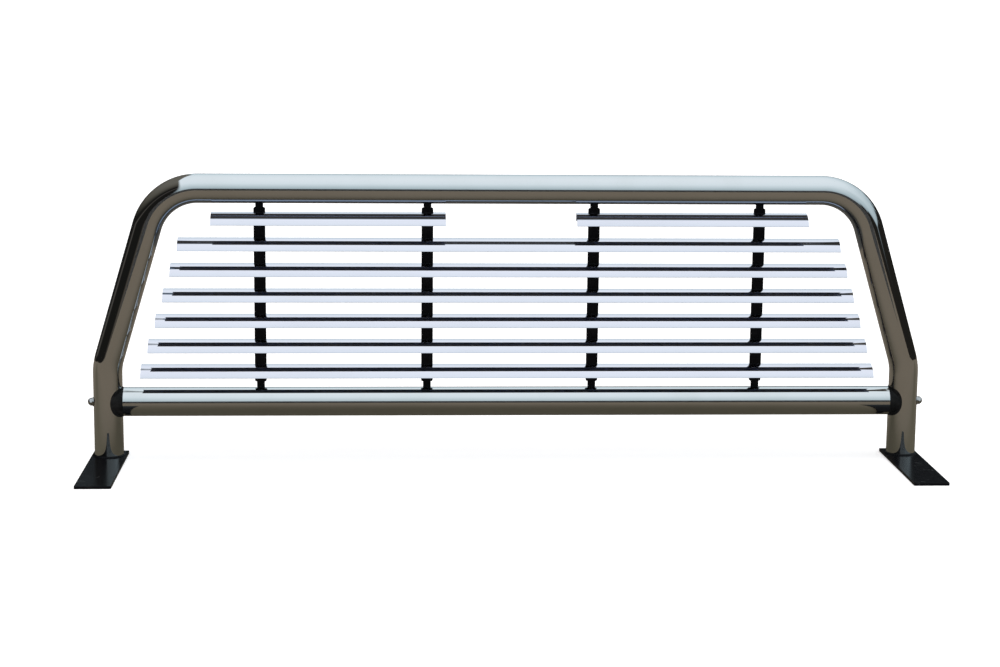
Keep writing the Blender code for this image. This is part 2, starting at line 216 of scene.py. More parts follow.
def mix(factor, first, second):
    """A colour between two others."""
    inputs = {"Factor": factor, "A": first, "B": second}
    return factor.add("ShaderNodeMix", {"data_type": "RGBA"}, inputs, "Result")


def bump(height, strength, distance):
    inputs = {"Height": height, "Strength": strength, "Distance": distance}
    return height.add("ShaderNodeBump", None, inputs)


# %% [markdown]
# ## Polished stainless tube
# The hoop and the cross tube are mirror-polished stainless steel. A mirror shows what is around it,
# so most of its look comes from the stage. What makes it steel and not glass is small: a slightly
# warm grey, hazy patches left by handling, and hair-fine polishing marks that only a close look
# finds. The underside of the top tube and its corners get a painted shade, darker and bluer than
# the clean steel: the blades below mirror it as a dark band. The painted shade's mask measures how
# far inwards of the tube's axis a spot lies, as a share of the tube's width.

# %% Polished stainless finish
CLEAN_STEEL = (0.655, 0.650, 0.640)
HAZY_STEEL = (0.625, 0.620, 0.605)
# painted shade: the darker, bluer colour of the top tube's underside and corners
SHADED_UNDERSIDE_STEEL = (0.26, 0.30, 0.36)
STEEL_ROUGHNESS = 0.012
UNDERSIDE_SHADE_EDGE = 0.30
UNDERSIDE_SHADE_FULL = 0.35


def underside_shade(spot):
    """A mask for the painted shade on the inner side of the top tube and its corners."""
    x, z = (spot.add("ShaderNodeSeparateXYZ", None, {"Vector": spot}, axis) for axis in "XZ")
    beside = spot.math("MAXIMUM", spot.math("ABSOLUTE", x, 0.0) - CORNER_CENTRE_X, 0.0)
    above = z - CORNER_CENTRE_Z
    reach = spot.math("SQRT", beside * beside + above * above, 0.0)
    return mask((CORNER_RADIUS - reach) * (0.5 / TUBE_RADIUS), UNDERSIDE_SHADE_EDGE, UNDERSIDE_SHADE_FULL)


def polished_steel_finish():
    material, shader, spot = new_finish("polished_stainless", Metallic=1.0)
    haze = mask(noise(spot, scale=9, detail=5), 0.45, 0.75)
    hairs = noise(spot, scale=700, detail=3, stretch=(1.0, 0.06, 1.0))
    specks = mask(noise(spot, scale=260), 0.70, 0.78)
    # painted shade on the underside of the top tube and its corners
    painted_shade = underside_shade(spot)
    clean = ramp(haze, (0.0, CLEAN_STEEL), (1.0, HAZY_STEEL))
    roughness = haze * 0.035 + hairs * 0.03 + specks * 0.08 + painted_shade * 0.05 + STEEL_ROUGHNESS
    dress(shader, mix(painted_shade, clean, (*SHADED_UNDERSIDE_STEEL, 1.0)), roughness,
          bump(hairs, strength=0.010, distance=0.0005))
    return material


POLISHED_STEEL = polished_steel_finish()
print("finish:", POLISHED_STEEL.name)

# %% [markdown]
# ## Bright louver blades
# The blades are bright-polished strip with faint lines along their length, left by the rolls or the
# die that shaped them. Noise that is stretched along X gives such lines: it barely changes along
# the blade, and quickly across it. Only the outer face is polished. In the photo each blade mirrors
# the one above it as a dark blue line, so the inner face is left dull, as the mill rolled it, and
# its colour is a painted shade tinted blue by a painted sky reflection.

# %% Louver finish
BRIGHT_BLADE = (0.722, 0.685, 0.722)
HAZY_BLADE = (0.690, 0.655, 0.690)
BLADE_ROUGHNESS = 0.015
# inner face colours: a painted shade, tinted blue by a painted sky reflection
SHADED_BLUE_BACK = (0.30, 0.36, 0.50)
STAINED_SHADED_BLUE_BACK = (0.38, 0.42, 0.50)
DULL_ROUGHNESS = 0.36


def louver_finish():
    material, shader, spot = new_finish("bright_louver", Metallic=1.0)
    lines = noise(spot, scale=900, stretch=(0.004, 1.0, 1.0))
    haze = mask(noise(spot, scale=14, detail=4, stretch=(0.35, 1, 1)), 0.45, 0.80)
    dress(shader, ramp(haze, (0.0, BRIGHT_BLADE), (1.0, HAZY_BLADE)),
          lines * 0.05 + haze * 0.05 + BLADE_ROUGHNESS,
          bump(lines, strength=0.004, distance=0.0004))
    return material


def louver_back_finish():
    material, shader, spot = new_finish("dull_louver_back_painted_shade", Metallic=1.0)
    lines = noise(spot, scale=500, detail=3, stretch=(0.006, 1.0, 1.0))
    stains = mask(noise(spot, scale=25, detail=5), 0.40, 0.75)
    # the inner face's colour is a painted shade tinted blue; the stains vary it at random
    dress(shader, ramp(stains, (0.0, SHADED_BLUE_BACK), (1.0, STAINED_SHADED_BLUE_BACK)),
          lines * 0.14 + stains * 0.10 + DULL_ROUGHNESS,
          bump(lines, strength=0.05, distance=0.0004))
    return material


BRIGHT_LOUVER = louver_finish()
LOUVER_BACK = louver_back_finish()
print("finishes:", BRIGHT_LOUVER.name, LOUVER_BACK.name)

# %% [markdown]
# ## Black powder coat and black moulding
# The feet and strips are powder coated: glossy black with the soft dimples called orange peel,
# scuffed a little and dusted with pale specks. The saddles are moulded, duller, with a finer grain.

# %% Black finishes
COAT_BLACK = (0.004, 0.004, 0.005)
COAT_WORN = (0.018, 0.017, 0.016)
COAT_ROUGHNESS = 0.16
MOULDING_BLACK = (0.005, 0.005, 0.005)
MOULDING_BLOOM = (0.014, 0.013, 0.012)
MOULDING_ROUGHNESS = 0.50


def powder_coat_finish():
    material, shader, spot = new_finish("black_powder_coat", Specular_IOR_Level=0.08)
    peel = noise(spot, scale=420)
    dust = mask(noise(spot, scale=1500, detail=3), 0.66, 0.74)
    scuffs = mask(noise(spot, scale=30, detail=6), 0.55, 0.80)
    dress(shader, ramp(dust * 0.25 + scuffs * 0.5, (0.0, COAT_BLACK), (1.0, COAT_WORN)),
          scuffs * 0.16 + peel * 0.08 + COAT_ROUGHNESS,
          bump(peel, strength=0.10, distance=0.0006))
    return material


def moulding_finish():
    material, shader, spot = new_finish("black_moulding", Specular_IOR_Level=0.14)
    grain = noise(spot, scale=1400, detail=3)
    bloom = mask(noise(spot, scale=60, detail=4), 0.45, 0.80)
    dress(shader, ramp(bloom, (0.0, MOULDING_BLACK), (1.0, MOULDING_BLOOM)),
          grain * 0.15 + bloom * 0.08 + MOULDING_ROUGHNESS,
          bump(grain, strength=0.12, distance=0.0003))
    return material


POWDER_COAT = powder_coat_finish()
MOULDING = moulding_finish()
print("finishes:", POWDER_COAT.name, MOULDING.name)

# %% [markdown]
# ## Fastener metals
# The cap nuts and washers are bright stainless, the rivets plain aluminium that has dulled, and the
# studs and plugs inside are zinc plated. One function makes all three: only the colour, the
# roughness and the mottling differ.

# %% Fastener finishes
def fastener_finish(name, bright, dull, roughness, mottle):
    material, shader, spot = new_finish(name, Metallic=1.0)
    patches = mask(noise(spot, scale=mottle, detail=4), 0.35, 0.70)
    marks = noise(spot, scale=2600)
    dress(shader, ramp(patches, (0.0, bright), (1.0, dull)),
          patches * 0.12 + marks * 0.08 + roughness,
          bump(marks, strength=0.05, distance=0.0002))
    return material


BRIGHT_FASTENER = fastener_finish("bright_fastener", bright=(0.46, 0.45, 0.44),
                                  dull=(0.36, 0.35, 0.34), roughness=0.08, mottle=300)
RIVET_ALLOY = fastener_finish("rivet_alloy", bright=(0.62, 0.63, 0.64),
                              dull=(0.44, 0.45, 0.46), roughness=0.26, mottle=700)
ZINC_PLATE = fastener_finish("zinc_plate", bright=(0.58, 0.59, 0.58),
                             dull=(0.46, 0.46, 0.43), roughness=0.30, mottle=400)
print("finishes:", BRIGHT_FASTENER.name, RIVET_ALLOY.name, ZINC_PLATE.name)

# %% [markdown]
# ## Working by hand
# These helpers keep the modelling cells short. An operator acts on all that is selected, so each
# piece starts by deselecting everything. Edit-mode selections are made by place: a test is given
# each vertex's position, or those of an edge's two ends.

# %% Edit mode helpers
def clear_selection():
    if bpy.context.mode != "OBJECT":
        bpy.ops.object.mode_set(mode="OBJECT")
    bpy.ops.object.select_all(action="DESELECT")


def settle(name):
    """Name the new primitive and put its place into its mesh."""
    piece = bpy.context.object
    piece.name = name
    piece.data.name = name
    bpy.ops.object.transform_apply(location=True, rotation=True, scale=True)
    return piece


def edit(piece):
    """Open a piece in edit mode with nothing selected."""
    bpy.context.view_layer.objects.active = piece
    bpy.ops.object.mode_set(mode="EDIT")
    bpy.ops.mesh.select_mode(type="VERT")
    bpy.ops.mesh.select_all(action="DESELECT")


def pick(piece, test):
    """Select the vertices whose place passes a test; the piece is in edit mode."""
    bpy.ops.object.mode_set(mode="OBJECT")
    for vertex in piece.data.vertices:
        vertex.select = test(vertex.co)
    bpy.ops.object.mode_set(mode="EDIT")


def pick_edges(piece, test):
    """Select the edges whose two ends pass a test; the piece is in edit mode."""
    bpy.ops.mesh.select_all(action="DESELECT")
    bpy.ops.mesh.select_mode(type="EDGE")
    bpy.ops.object.mode_set(mode="OBJECT")
    for edge in piece.data.edges:
        edge.select = test(*(piece.data.vertices[index].co for index in edge.vertices))
    bpy.ops.object.mode_set(mode="EDIT")


def pull(step):
    """Extrude what is selected along a step."""
    bpy.ops.mesh.extrude_region_move(TRANSFORM_OT_translate={"value": tuple(step)})


def close_edit():
    bpy.ops.mesh.select_all(action="SELECT")
    bpy.ops.mesh.normals_make_consistent(inside=False)
    bpy.ops.object.mode_set(mode="OBJECT")


# %% [markdown]
# A modifier is added, set and applied at once, so that every finished piece is a plain mesh. Cuts
# come before the bevel that rounds a piece's edges: a boolean on a bevelled mesh is fragile.

# %% Modifier helpers
SHARP_ANGLE = math.radians(35)
SQUARE_ANGLE = math.radians(50)


def apply_modifier(piece, kind, **settings):
    modifier = piece.modifiers.new(kind.title(), kind)
    for name, value in settings.items():
        setattr(modifier, name, value)
    bpy.context.view_layer.objects.active = piece
    bpy.ops.object.modifier_apply(modifier=modifier.name)


def combine(piece, operation, *tools):
    """Cut tools out of a piece, weld them on, or keep what both share; the tools are used up."""
    for tool in tools:
        apply_modifier(piece, "BOOLEAN", operation=operation, object=tool, solver="EXACT")
        bpy.data.objects.remove(tool)


def join(piece, other):
    """Put another closed shape into a piece's mesh."""
    clear_selection()
    other.select_set(True)
    piece.select_set(True)
    bpy.context.view_layer.objects.active = piece
    bpy.ops.object.join()


def round_edges(piece, width, segments=2, angle=SHARP_ANGLE):
    apply_modifier(piece, "BEVEL", width=width, segments=segments, limit_method="ANGLE",
                   angle_limit=angle)


def smooth(piece, angle=SHARP_ANGLE):
    """Smooth all but the sharp edges; large faces outweigh small ones and stay flat."""
    clear_selection()
    piece.select_set(True)
    bpy.context.view_layer.objects.active = piece
    bpy.ops.object.shade_smooth_by_angle(angle=angle)
    apply_modifier(piece, "WEIGHTED_NORMAL", keep_sharp=True)


# %% [markdown]
# Most pieces start as a box, as a rod or on the lathe. The lathe pulls a ring of vertices along an
# axis and resizes it at every step, which is how a turned part's profile is read from a drawing.

# %% Starting shapes
def box_tool(low, high, name="box_tool"):
    """A box between two corners, to cut with or to start a piece from."""
    clear_selection()
    low, high = Vector(low), Vector(high)
    bpy.ops.mesh.primitive_cube_add(size=1, location=(low + high) / 2, scale=high - low)
    return settle(name)


def turned_to(axis):
    """The rotation that turns Z to an axis."""
    return Vector((0, 0, 1)).rotation_difference(Vector(axis)).to_euler()


def rod_tool(middle, axis, length, radius, sides):
    """A rod along an axis, to cut with."""
    clear_selection()
    bpy.ops.mesh.primitive_cylinder_add(vertices=sides, radius=radius, depth=length,
                                        location=middle, rotation=turned_to(axis))
    return settle("rod_tool")


def lathe(name, base, axis, profile, sides, bored=False):
    """Turn a profile of distances along an axis and radii; a bored piece's two ends are joined."""
    clear_selection()
    base, axis = Vector(base), Vector(axis)
    start, radius = profile[0]
    bpy.ops.mesh.primitive_circle_add(vertices=sides, radius=radius, location=base + axis * start,
                                      rotation=turned_to(axis))
    piece = settle(name)
    edit(piece)
    bpy.ops.mesh.select_all(action="SELECT")
    for (here, old_radius), (there, new_radius) in zip(profile, profile[1:]):
        pull(axis * (there - here))
        share = new_radius / old_radius
        centre = base + axis * there
        bpy.ops.transform.resize(value=(share, share, share), center_override=tuple(centre))
    bpy.ops.mesh.select_all(action="DESELECT")
    bpy.ops.mesh.select_non_manifold()
    if bored:
        bpy.ops.mesh.bridge_edge_loops()
    else:
        bpy.ops.mesh.fill_holes(sides=0)
    close_edit()
    return piece


def hand_over(piece, finish, slot, *nodes):
    """Give a finished piece its material, its body and the frame's nodes that it stands for."""
    if not piece.data.materials:
        piece.data.materials.append(finish)
    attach(piece, "root")
    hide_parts(*nodes)
    print(f"{piece.name}: {len(piece.data.polygons)} faces")


# %% [markdown]
# ## The hoop
# A tube bender makes the hoop from one straight tube with four bends, and the model follows it: a
# ring of vertices is pulled up the leg, spun round the knee, pulled along the lean, spun round the
# corner, and so on to the other foot. Extra stops beside each hole keep the cuts from bending the
# long reflections.

# %% Hoop
TUBE_SIDES = 128
KNEE_STEPS = 10
CORNER_STEPS = 36
STOP_MARGIN = 0.016
SEAM_GAP = 0.00001


def pull_through(stops, start, way):
    """Pull the selected ring along a way through a list of distances."""
    done = 0.0
    for stop in stops:
        pull(Vector(way) * (stop - done))
        done = stop
    return Vector(start) + Vector(way) * done


def spin_ring(place, way, radius, angle, steps):
    """Spin the selected ring towards the right about an axis along Y; returns its place and way."""
    inward = Vector((way.z, 0, -way.x))
    centre = place + inward * radius
    bpy.ops.mesh.spin(steps=steps, angle=angle, center=tuple(centre), axis=(0, -1, 0))
    turn = Matrix.Rotation(angle, 3, "Y")
    return centre + turn @ (place - centre), turn @ way


def strip_stops(start_x):
    """Distances from a tube's start to either side of each strip."""
    return [x + side * STOP_MARGIN - start_x for x in STRIP_X for side in (-1, 1)]


def make_hoop():
    clear_selection()
    foot = Vector((-LEG_X, RACK_Y, LEG_FOOT))
    bpy.ops.mesh.primitive_circle_add(vertices=TUBE_SIDES, radius=TUBE_RADIUS, location=foot)
    piece = settle("polished_hoop")
    edit(piece)
    bpy.ops.mesh.select_all(action="SELECT")
    knee_reach = KNEE_RADIUS * math.tan(LEAN / 2)
    lean_run = (TOP_Z - KNEE_Z) / math.cos(LEAN) - knee_reach - CORNER_REACH
    leg_run = KNEE_Z - knee_reach - LEG_FOOT
    stud_rise = CROSS_Z - LEG_FOOT
    stud_stops = [stud_rise - STOP_MARGIN, stud_rise + STOP_MARGIN]
    top_stops = strip_stops(-CORNER_CENTRE_X) + [2 * CORNER_CENTRE_X]

    spot = pull_through(stud_stops + [leg_run], foot, (0, 0, 1))
    spot, way = spin_ring(spot, Vector((0, 0, 1)), KNEE_RADIUS, LEAN, KNEE_STEPS)
    spot = pull_through([lean_run], spot, way)
    spot, way = spin_ring(spot, way, CORNER_RADIUS, CORNER_TURN, CORNER_STEPS)
    spot = pull_through(top_stops, spot, way)
    spot, way = spin_ring(spot, way, CORNER_RADIUS, CORNER_TURN, CORNER_STEPS)
    spot = pull_through([lean_run], spot, way)
    spot, way = spin_ring(spot, way, KNEE_RADIUS, LEAN, KNEE_STEPS)
    pull_through([leg_run - stop for stop in reversed(stud_stops)] + [leg_run], spot, way)
    bpy.ops.mesh.select_all(action="SELECT")
    bpy.ops.mesh.remove_doubles(threshold=SEAM_GAP)
    close_edit()
    return piece


hoop = make_hoop()
print("hoop size:", [round(length, 4) for length in hoop.dimensions])

# %% [markdown]
# A wall turns the skin into a tube: Solidify adds it on the inside. Then the studs' holes and the
# slots for the strips' tongues are cut with plain rods and boxes.

# %% Hoop wall and cuts
STUD_HOLE_RADIUS = 0.00505
HOLE_SIDES = 32
TONGUE_WIDTH = 0.0170


def tongue_slots(height):
    """Boxes that cut the four tongue slots through one tube wall."""
    strip_low, strip_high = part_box(STRIPS[0])
    half = TONGUE_WIDTH / 2 + CLEARANCE
    reach = TUBE_RADIUS / 2
    return [box_tool((x - half, strip_low.y - CLEARANCE, height - reach),
                     (x + half, strip_high.y + CLEARANCE, height + reach)) for x in STRIP_X]


def stud_drill(side):
    """A rod that drills one leg for its stud."""
    middle = (side * LEG_X, RACK_Y, CROSS_Z)
    return rod_tool(middle, (1, 0, 0), 4 * TUBE_RADIUS, STUD_HOLE_RADIUS, HOLE_SIDES)


apply_modifier(hoop, "SOLIDIFY", thickness=TUBE_WALL, offset=-1.0, use_even_offset=True)
combine(hoop, "DIFFERENCE", stud_drill(-1), stud_drill(1), *tongue_slots(TOP_Z - TUBE_RADIUS))
smooth(hoop)
hand_over(hoop, POLISHED_STEEL, "polished_tube", "hoop_tube")

# %% [markdown]
# ## The cross tube
# A straight tube with square-cut ends. It is drawn like the hoop, with one pull from stop to stop.
# Its ends stay square, because the saddles close them.

# %% Cross tube
def make_cross_tube():
    clear_selection()
    start = Vector((cross_low.x, RACK_Y, CROSS_Z))
    bpy.ops.mesh.primitive_circle_add(vertices=TUBE_SIDES, radius=TUBE_RADIUS, location=start,
                                      rotation=(0, math.pi / 2, 0))
    piece = settle("polished_cross_tube")
    edit(piece)
    bpy.ops.mesh.select_all(action="SELECT")
    pull_through(strip_stops(start.x) + [cross_high.x - start.x], start, (1, 0, 0))
    close_edit()
    apply_modifier(piece, "SOLIDIFY", thickness=TUBE_WALL, offset=-1.0)
    combine(piece, "DIFFERENCE", *tongue_slots(CROSS_Z + TUBE_RADIUS))
    smooth(piece)
    return piece


hand_over(make_cross_tube(), POLISHED_STEEL, "polished_tube", "cross_tube")

# %% [markdown]
# ## The louvers
# Each louver is a strip rolled to an arc, with a flange turned down along its rear edge. The arc is
# cut from a full circle by two bisecting planes through its centre; its rear end is pulled down for
# the flange, the whole line is pulled along the rack, and Solidify gives it thickness on the inner
# side. A stop near each end keeps the bevel there from tilting the long reflections.

# %% Louvers
LOUVER_RADIUS = 0.0425
LOUVER_LOW = math.radians(22.6)
LOUVER_HIGH = math.radians(83.0)
LOUVER_THICKNESS = 0.0020
LOUVER_FLANGE = 0.0180
LOUVER_CIRCLE_SIDES = 288
LOUVER_EDGE = 0.0004
LOUVER_END = 0.0020
RIVET_DROP = 0.0105
RIVET_HOLE_RADIUS = 0.0027
TOUCH = 0.0001
LOUVERS = ["louver_1_left", "louver_1_right"] + [f"louver_{row}" for row in range(2, 8)]


def rivet_drill(x, y, z, wall):
    """A rod that drills a wall for a rivet."""
    return rod_tool((x, y, z), (0, 1, 0), 4 * wall, RIVET_HOLE_RADIUS, HOLE_SIDES)


def make_louver(node):
    low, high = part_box(node)
    rear_y, rear_z = high.y, high.z
    centre = Vector((low.x, rear_y + LOUVER_RADIUS * math.cos(LOUVER_HIGH),
                     rear_z - LOUVER_RADIUS * math.sin(LOUVER_HIGH)))
    clear_selection()
    bpy.ops.mesh.primitive_circle_add(vertices=LOUVER_CIRCLE_SIDES, radius=LOUVER_RADIUS,
                                      location=centre, rotation=(0, math.pi / 2, 0))
    piece = settle(f"bright_{node}")
    edit(piece)
    for angle, side in ((LOUVER_LOW, 1), (LOUVER_HIGH, -1)):
        across = Vector((0, math.sin(angle), math.cos(angle))) * side
        bpy.ops.mesh.select_all(action="SELECT")
        bpy.ops.mesh.bisect(plane_co=tuple(centre), plane_no=tuple(across), clear_inner=True)
    pick(piece, lambda spot: spot.y > rear_y - TOUCH)
    flange = (0, 0, -LOUVER_FLANGE)
    bpy.ops.mesh.extrude_vertices_move(TRANSFORM_OT_translate={"value": flange})
    bpy.ops.mesh.select_all(action="SELECT")
    span = high.x - low.x
    pull_through([LOUVER_END, span - LOUVER_END, span], centre, (1, 0, 0))
    close_edit()
    piece.data.materials.append(BRIGHT_LOUVER)
    piece.data.materials.append(LOUVER_BACK)
    apply_modifier(piece, "SOLIDIFY", thickness=LOUVER_THICKNESS, offset=-1.0,
                   use_even_offset=True, material_offset=1)
    drills = [rivet_drill(x, rear_y, rear_z - RIVET_DROP, LOUVER_THICKNESS)
              for x in STRIP_X if low.x < x < high.x]
    combine(piece, "DIFFERENCE", *drills)
    round_edges(piece, LOUVER_EDGE)
    smooth(piece)
    return piece


for node in LOUVERS:
    hand_over(make_louver(node), BRIGHT_LOUVER, "polished_louver", node)

# %% [markdown]
# ## The support strips
# A strip is a flat bar whose ends are cut down to tongues. A box of the bar's size has a notch cut
# from each corner, its shoulders are rounded, it is drilled for the rivets, and a small bevel
# breaks the sharp edges as the coating does on the real bar.

# %% Strips
UPPER_NECK = 0.0095
LOWER_NECK = 0.0115
STRIP_EDGE = 0.0004
SHOULDER_RADIUS = 0.0035
SHOULDER_STEPS = 6


def notch_strip(piece, low, high, middle_x):
    """Cut a bar's four corners away beside its tongues."""
    spare = STRIP_THICKNESS
    upper_shoulder = TOP_Z - TUBE_RADIUS - UPPER_NECK
    lower_shoulder = CROSS_Z + TUBE_RADIUS + LOWER_NECK
    for side in (-1, 1):
        tongue_x = middle_x + side * TONGUE_WIDTH / 2
        beyond_x = middle_x + side * (high.x - low.x)
        near_x, far_x = sorted((tongue_x, beyond_x))
        for near_z, far_z in ((low.z - spare, lower_shoulder), (upper_shoulder, high.z + spare)):
            notch = box_tool((near_x, low.y - spare, near_z), (far_x, high.y + spare, far_z))
            combine(piece, "DIFFERENCE", notch)


def make_strip(node, heights):
    low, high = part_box(node)
    middle_x = (low.x + high.x) / 2
    middle_y = (low.y + high.y) / 2
    piece = box_tool(low, high, f"coated_{node}")
    notch_strip(piece, low, high, middle_x)

    def at_shoulder(first, last):
        nearest = min(abs(first.x - middle_x), abs(last.x - middle_x))
        through = abs(first.y - last.y) > STRIP_THICKNESS / 2
        return through and nearest > TONGUE_WIDTH / 2 + TOUCH

    edit(piece)
    pick_edges(piece, at_shoulder)
    bpy.ops.mesh.bevel(offset=SHOULDER_RADIUS, segments=SHOULDER_STEPS, affect="EDGES")
    close_edit()
    drills = [rivet_drill(middle_x, middle_y, z, STRIP_THICKNESS) for z in heights]
    combine(piece, "DIFFERENCE", *drills)
    round_edges(piece, STRIP_EDGE)
    smooth(piece)
    return piece


TOP_EDGES = [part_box(node)[1].z for node in LOUVERS if node != "louver_1_right"]
RIVET_ROWS = [edge - RIVET_DROP for edge in TOP_EDGES]
for node in STRIPS:
    hand_over(make_strip(node, RIVET_ROWS), POWDER_COAT, "black_powder_coat", node)

# %% [markdown]
# ## Rivets
# A blind rivet has a low domed head with a dimple where its mandrel broke off, and a swollen tail
# under the blade. The tail's curve is written as shares of its length, from its end, and of its
# radius. One rivet is turned on the lathe helper, and every crossing gets a copy with its own mesh.

# %% Rivets
RIVET_RADIUS = 0.0024
RIVET_HEAD_RADIUS = 0.00475
RIVET_HEAD_HEIGHT = 0.0022
RIVET_HEAD_RIM = 0.0004
RIVET_TAIL_RADIUS = 0.0035
RIVET_TAIL_LENGTH = 0.0032
RIVET_TAIL_CURVE = ((0.09375, 0.75), (0.3125, 0.95), (0.625, 1.0), (0.875, 0.96), (1.0, 0.85))
MANDREL_RADIUS = 0.0013
MANDREL_DEPTH = 0.0010
DIMPLE_TAPER = 0.9
RIVET_SIDES = 40
CURVE_STEPS = 6


def rivet_profile():
    """Distances from the louver's rear face, and radii, from the tail's end to the dimple."""
    tail_seat = -LOUVER_THICKNESS - CLEARANCE
    head_seat = STRIP_THICKNESS + 2 * CLEARANCE
    tail_end = tail_seat - RIVET_TAIL_LENGTH
    profile = [(tail_end, MANDREL_RADIUS)]
    for along_tail, share in RIVET_TAIL_CURVE:
        profile.append((tail_end + RIVET_TAIL_LENGTH * along_tail, RIVET_TAIL_RADIUS * share))
    profile += [(tail_seat, RIVET_RADIUS), (head_seat, RIVET_RADIUS),
                (head_seat, RIVET_HEAD_RADIUS), (head_seat + RIVET_HEAD_RIM, RIVET_HEAD_RADIUS)]
    for step in range(1, CURVE_STEPS + 1):
        share = step / CURVE_STEPS
        radius = RIVET_HEAD_RADIUS + (MANDREL_RADIUS - RIVET_HEAD_RADIUS) * share
        dome = (RIVET_HEAD_HEIGHT - RIVET_HEAD_RIM) * math.sin(share * math.pi / 2)
        profile.append((head_seat + RIVET_HEAD_RIM + dome, radius))
    dimple = head_seat + RIVET_HEAD_HEIGHT - MANDREL_DEPTH
    profile.append((dimple, MANDREL_RADIUS * DIMPLE_TAPER))
    return profile


rear_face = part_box("louver_1_left")[1].y
first_rivet = lathe("rivet", (0, 0, 0), (0, 1, 0), rivet_profile(), RIVET_SIDES)
smooth(first_rivet)
for row, height in enumerate(RIVET_ROWS, start=1):
    for number, x in enumerate(STRIP_X, start=1):
        rivet = first_rivet.copy()
        rivet.data = first_rivet.data.copy()
        rivet.name = f"set_rivet_{row}_{number}"
        rivet.data.transform(Matrix.Translation((x, rear_face, height)))
        bpy.context.scene.collection.objects.link(rivet)
        hand_over(rivet, RIVET_ALLOY, "rivet_alloy", f"rivet_{row}_{number}")
bpy.data.objects.remove(first_rivet)

# %% [markdown]
# ## Foot plates
# Each foot is a flat plate with its leg welded on. The plate is a box with rounded corners. The
# bead is turned as a ring, and a Displace modifier pushes it in by weights given to each vertex,
# which gives the ripples of a hand weld. The side against the leg has no weights and stays round.

# %% Foot plates
WELD_SIZE = 0.0045
WELD_HEIGHT = 0.0032
WELD_FULLNESS = 0.9
WELD_ROOT = 0.0005
WELD_RIPPLES = 44
WELD_RIPPLE_DEPTH = 0.0008
WELD_SIDES = 264
PLATE_CORNER = 0.0030
PLATE_CORNER_STEPS = 6
PLATE_EDGE = 0.0008


def weld_bead(leg_x):
    """A ring of weld round a leg's foot, with its ripples."""
    inner = TUBE_RADIUS + CLEARANCE
    outer = inner + WELD_SIZE
    sunk = -FOOT_THICKNESS / 2
    profile = [(sunk, inner), (WELD_HEIGHT, inner)]
    for step in range(1, CURVE_STEPS):
        angle = math.pi / 2 * step / CURVE_STEPS
        radius = inner + WELD_SIZE * math.sin(angle) * WELD_FULLNESS
        profile.append((WELD_HEIGHT * math.cos(angle), radius))
    profile += [(0.0, outer), (sunk, outer)]
    base = (leg_x, RACK_Y, FOOT_THICKNESS)
    bead = lathe("bead", base, (0, 0, 1), profile, WELD_SIDES, bored=True)
    ripples = bead.vertex_groups.new(name="ripples")
    for vertex in bead.data.vertices:
        away = Vector((vertex.co.x - leg_x, vertex.co.y - RACK_Y))
        if away.length > inner + WELD_ROOT:
            turn = math.atan2(away.y, away.x)
            ripples.add([vertex.index], 0.5 + 0.5 * math.cos(WELD_RIPPLES * turn), "REPLACE")
    apply_modifier(bead, "DISPLACE", strength=-WELD_RIPPLE_DEPTH, mid_level=0.0,
                   vertex_group="ripples")
    return bead


def make_foot(side, sign):
    low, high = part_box(f"foot_plate_{side}")
    piece = box_tool(low, (high.x, high.y, FOOT_THICKNESS), f"coated_foot_{side}")
    edit(piece)
    pick_edges(piece, lambda first, last: abs(first.z - last.z) > FOOT_THICKNESS / 2)
    bpy.ops.mesh.bevel(offset=PLATE_CORNER, segments=PLATE_CORNER_STEPS, affect="EDGES")
    close_edit()
    round_edges(piece, PLATE_EDGE, 3, SQUARE_ANGLE)
    combine(piece, "UNION", weld_bead(sign * LEG_X))
    smooth(piece)
    return piece


for side, sign in (("left", -1), ("right", 1)):
    hand_over(make_foot(side, sign), POWDER_COAT, "black_powder_coat", f"foot_plate_{side}")

# %% [markdown]
# ## Saddles
# Where the cross tube meets a leg, a black saddle is cut to the leg's round and plugs into the
# tube. Its head is turned and gets a thin sleeve that hugs the leg. An oval rod trims both to the
# round outline that the saddle shows from the front, and a rod of the leg's size is cut out. The
# plug is turned by itself and joined on.

# %% Saddles
SADDLE_WEB = 0.0030
SADDLE_WRAP = 0.0232
SADDLE_LIP = 0.0014
SADDLE_EDGE = 0.0004
SPIGOT_LENGTH = 0.0180
JOINT_SIDES = 96
SHORT_ROD = 4 * TUBE_RADIUS
LONG_ROD = 6 * TUBE_RADIUS


def leg_rod(leg):
    """A rod of the leg's size, to cut with."""
    return rod_tool(leg, (0, 0, 1), LONG_ROD, TUBE_RADIUS + CLEARANCE, TUBE_SIDES)


def saddle_plug(leg, out, seat):
    """A bored plug that fits the cross tube and is rooted in the saddle's web."""
    radius = TUBE_RADIUS - TUBE_WALL - CLEARANCE
    end = seat - SPIGOT_LENGTH
    root = seat + SADDLE_WEB / 3
    profile = [(end, STUD_HOLE_RADIUS), (end, radius - SADDLE_EDGE), (end + SADDLE_EDGE, radius),
               (root, radius), (root, STUD_HOLE_RADIUS)]
    return lathe("plug", leg, out, profile, JOINT_SIDES, bored=True)


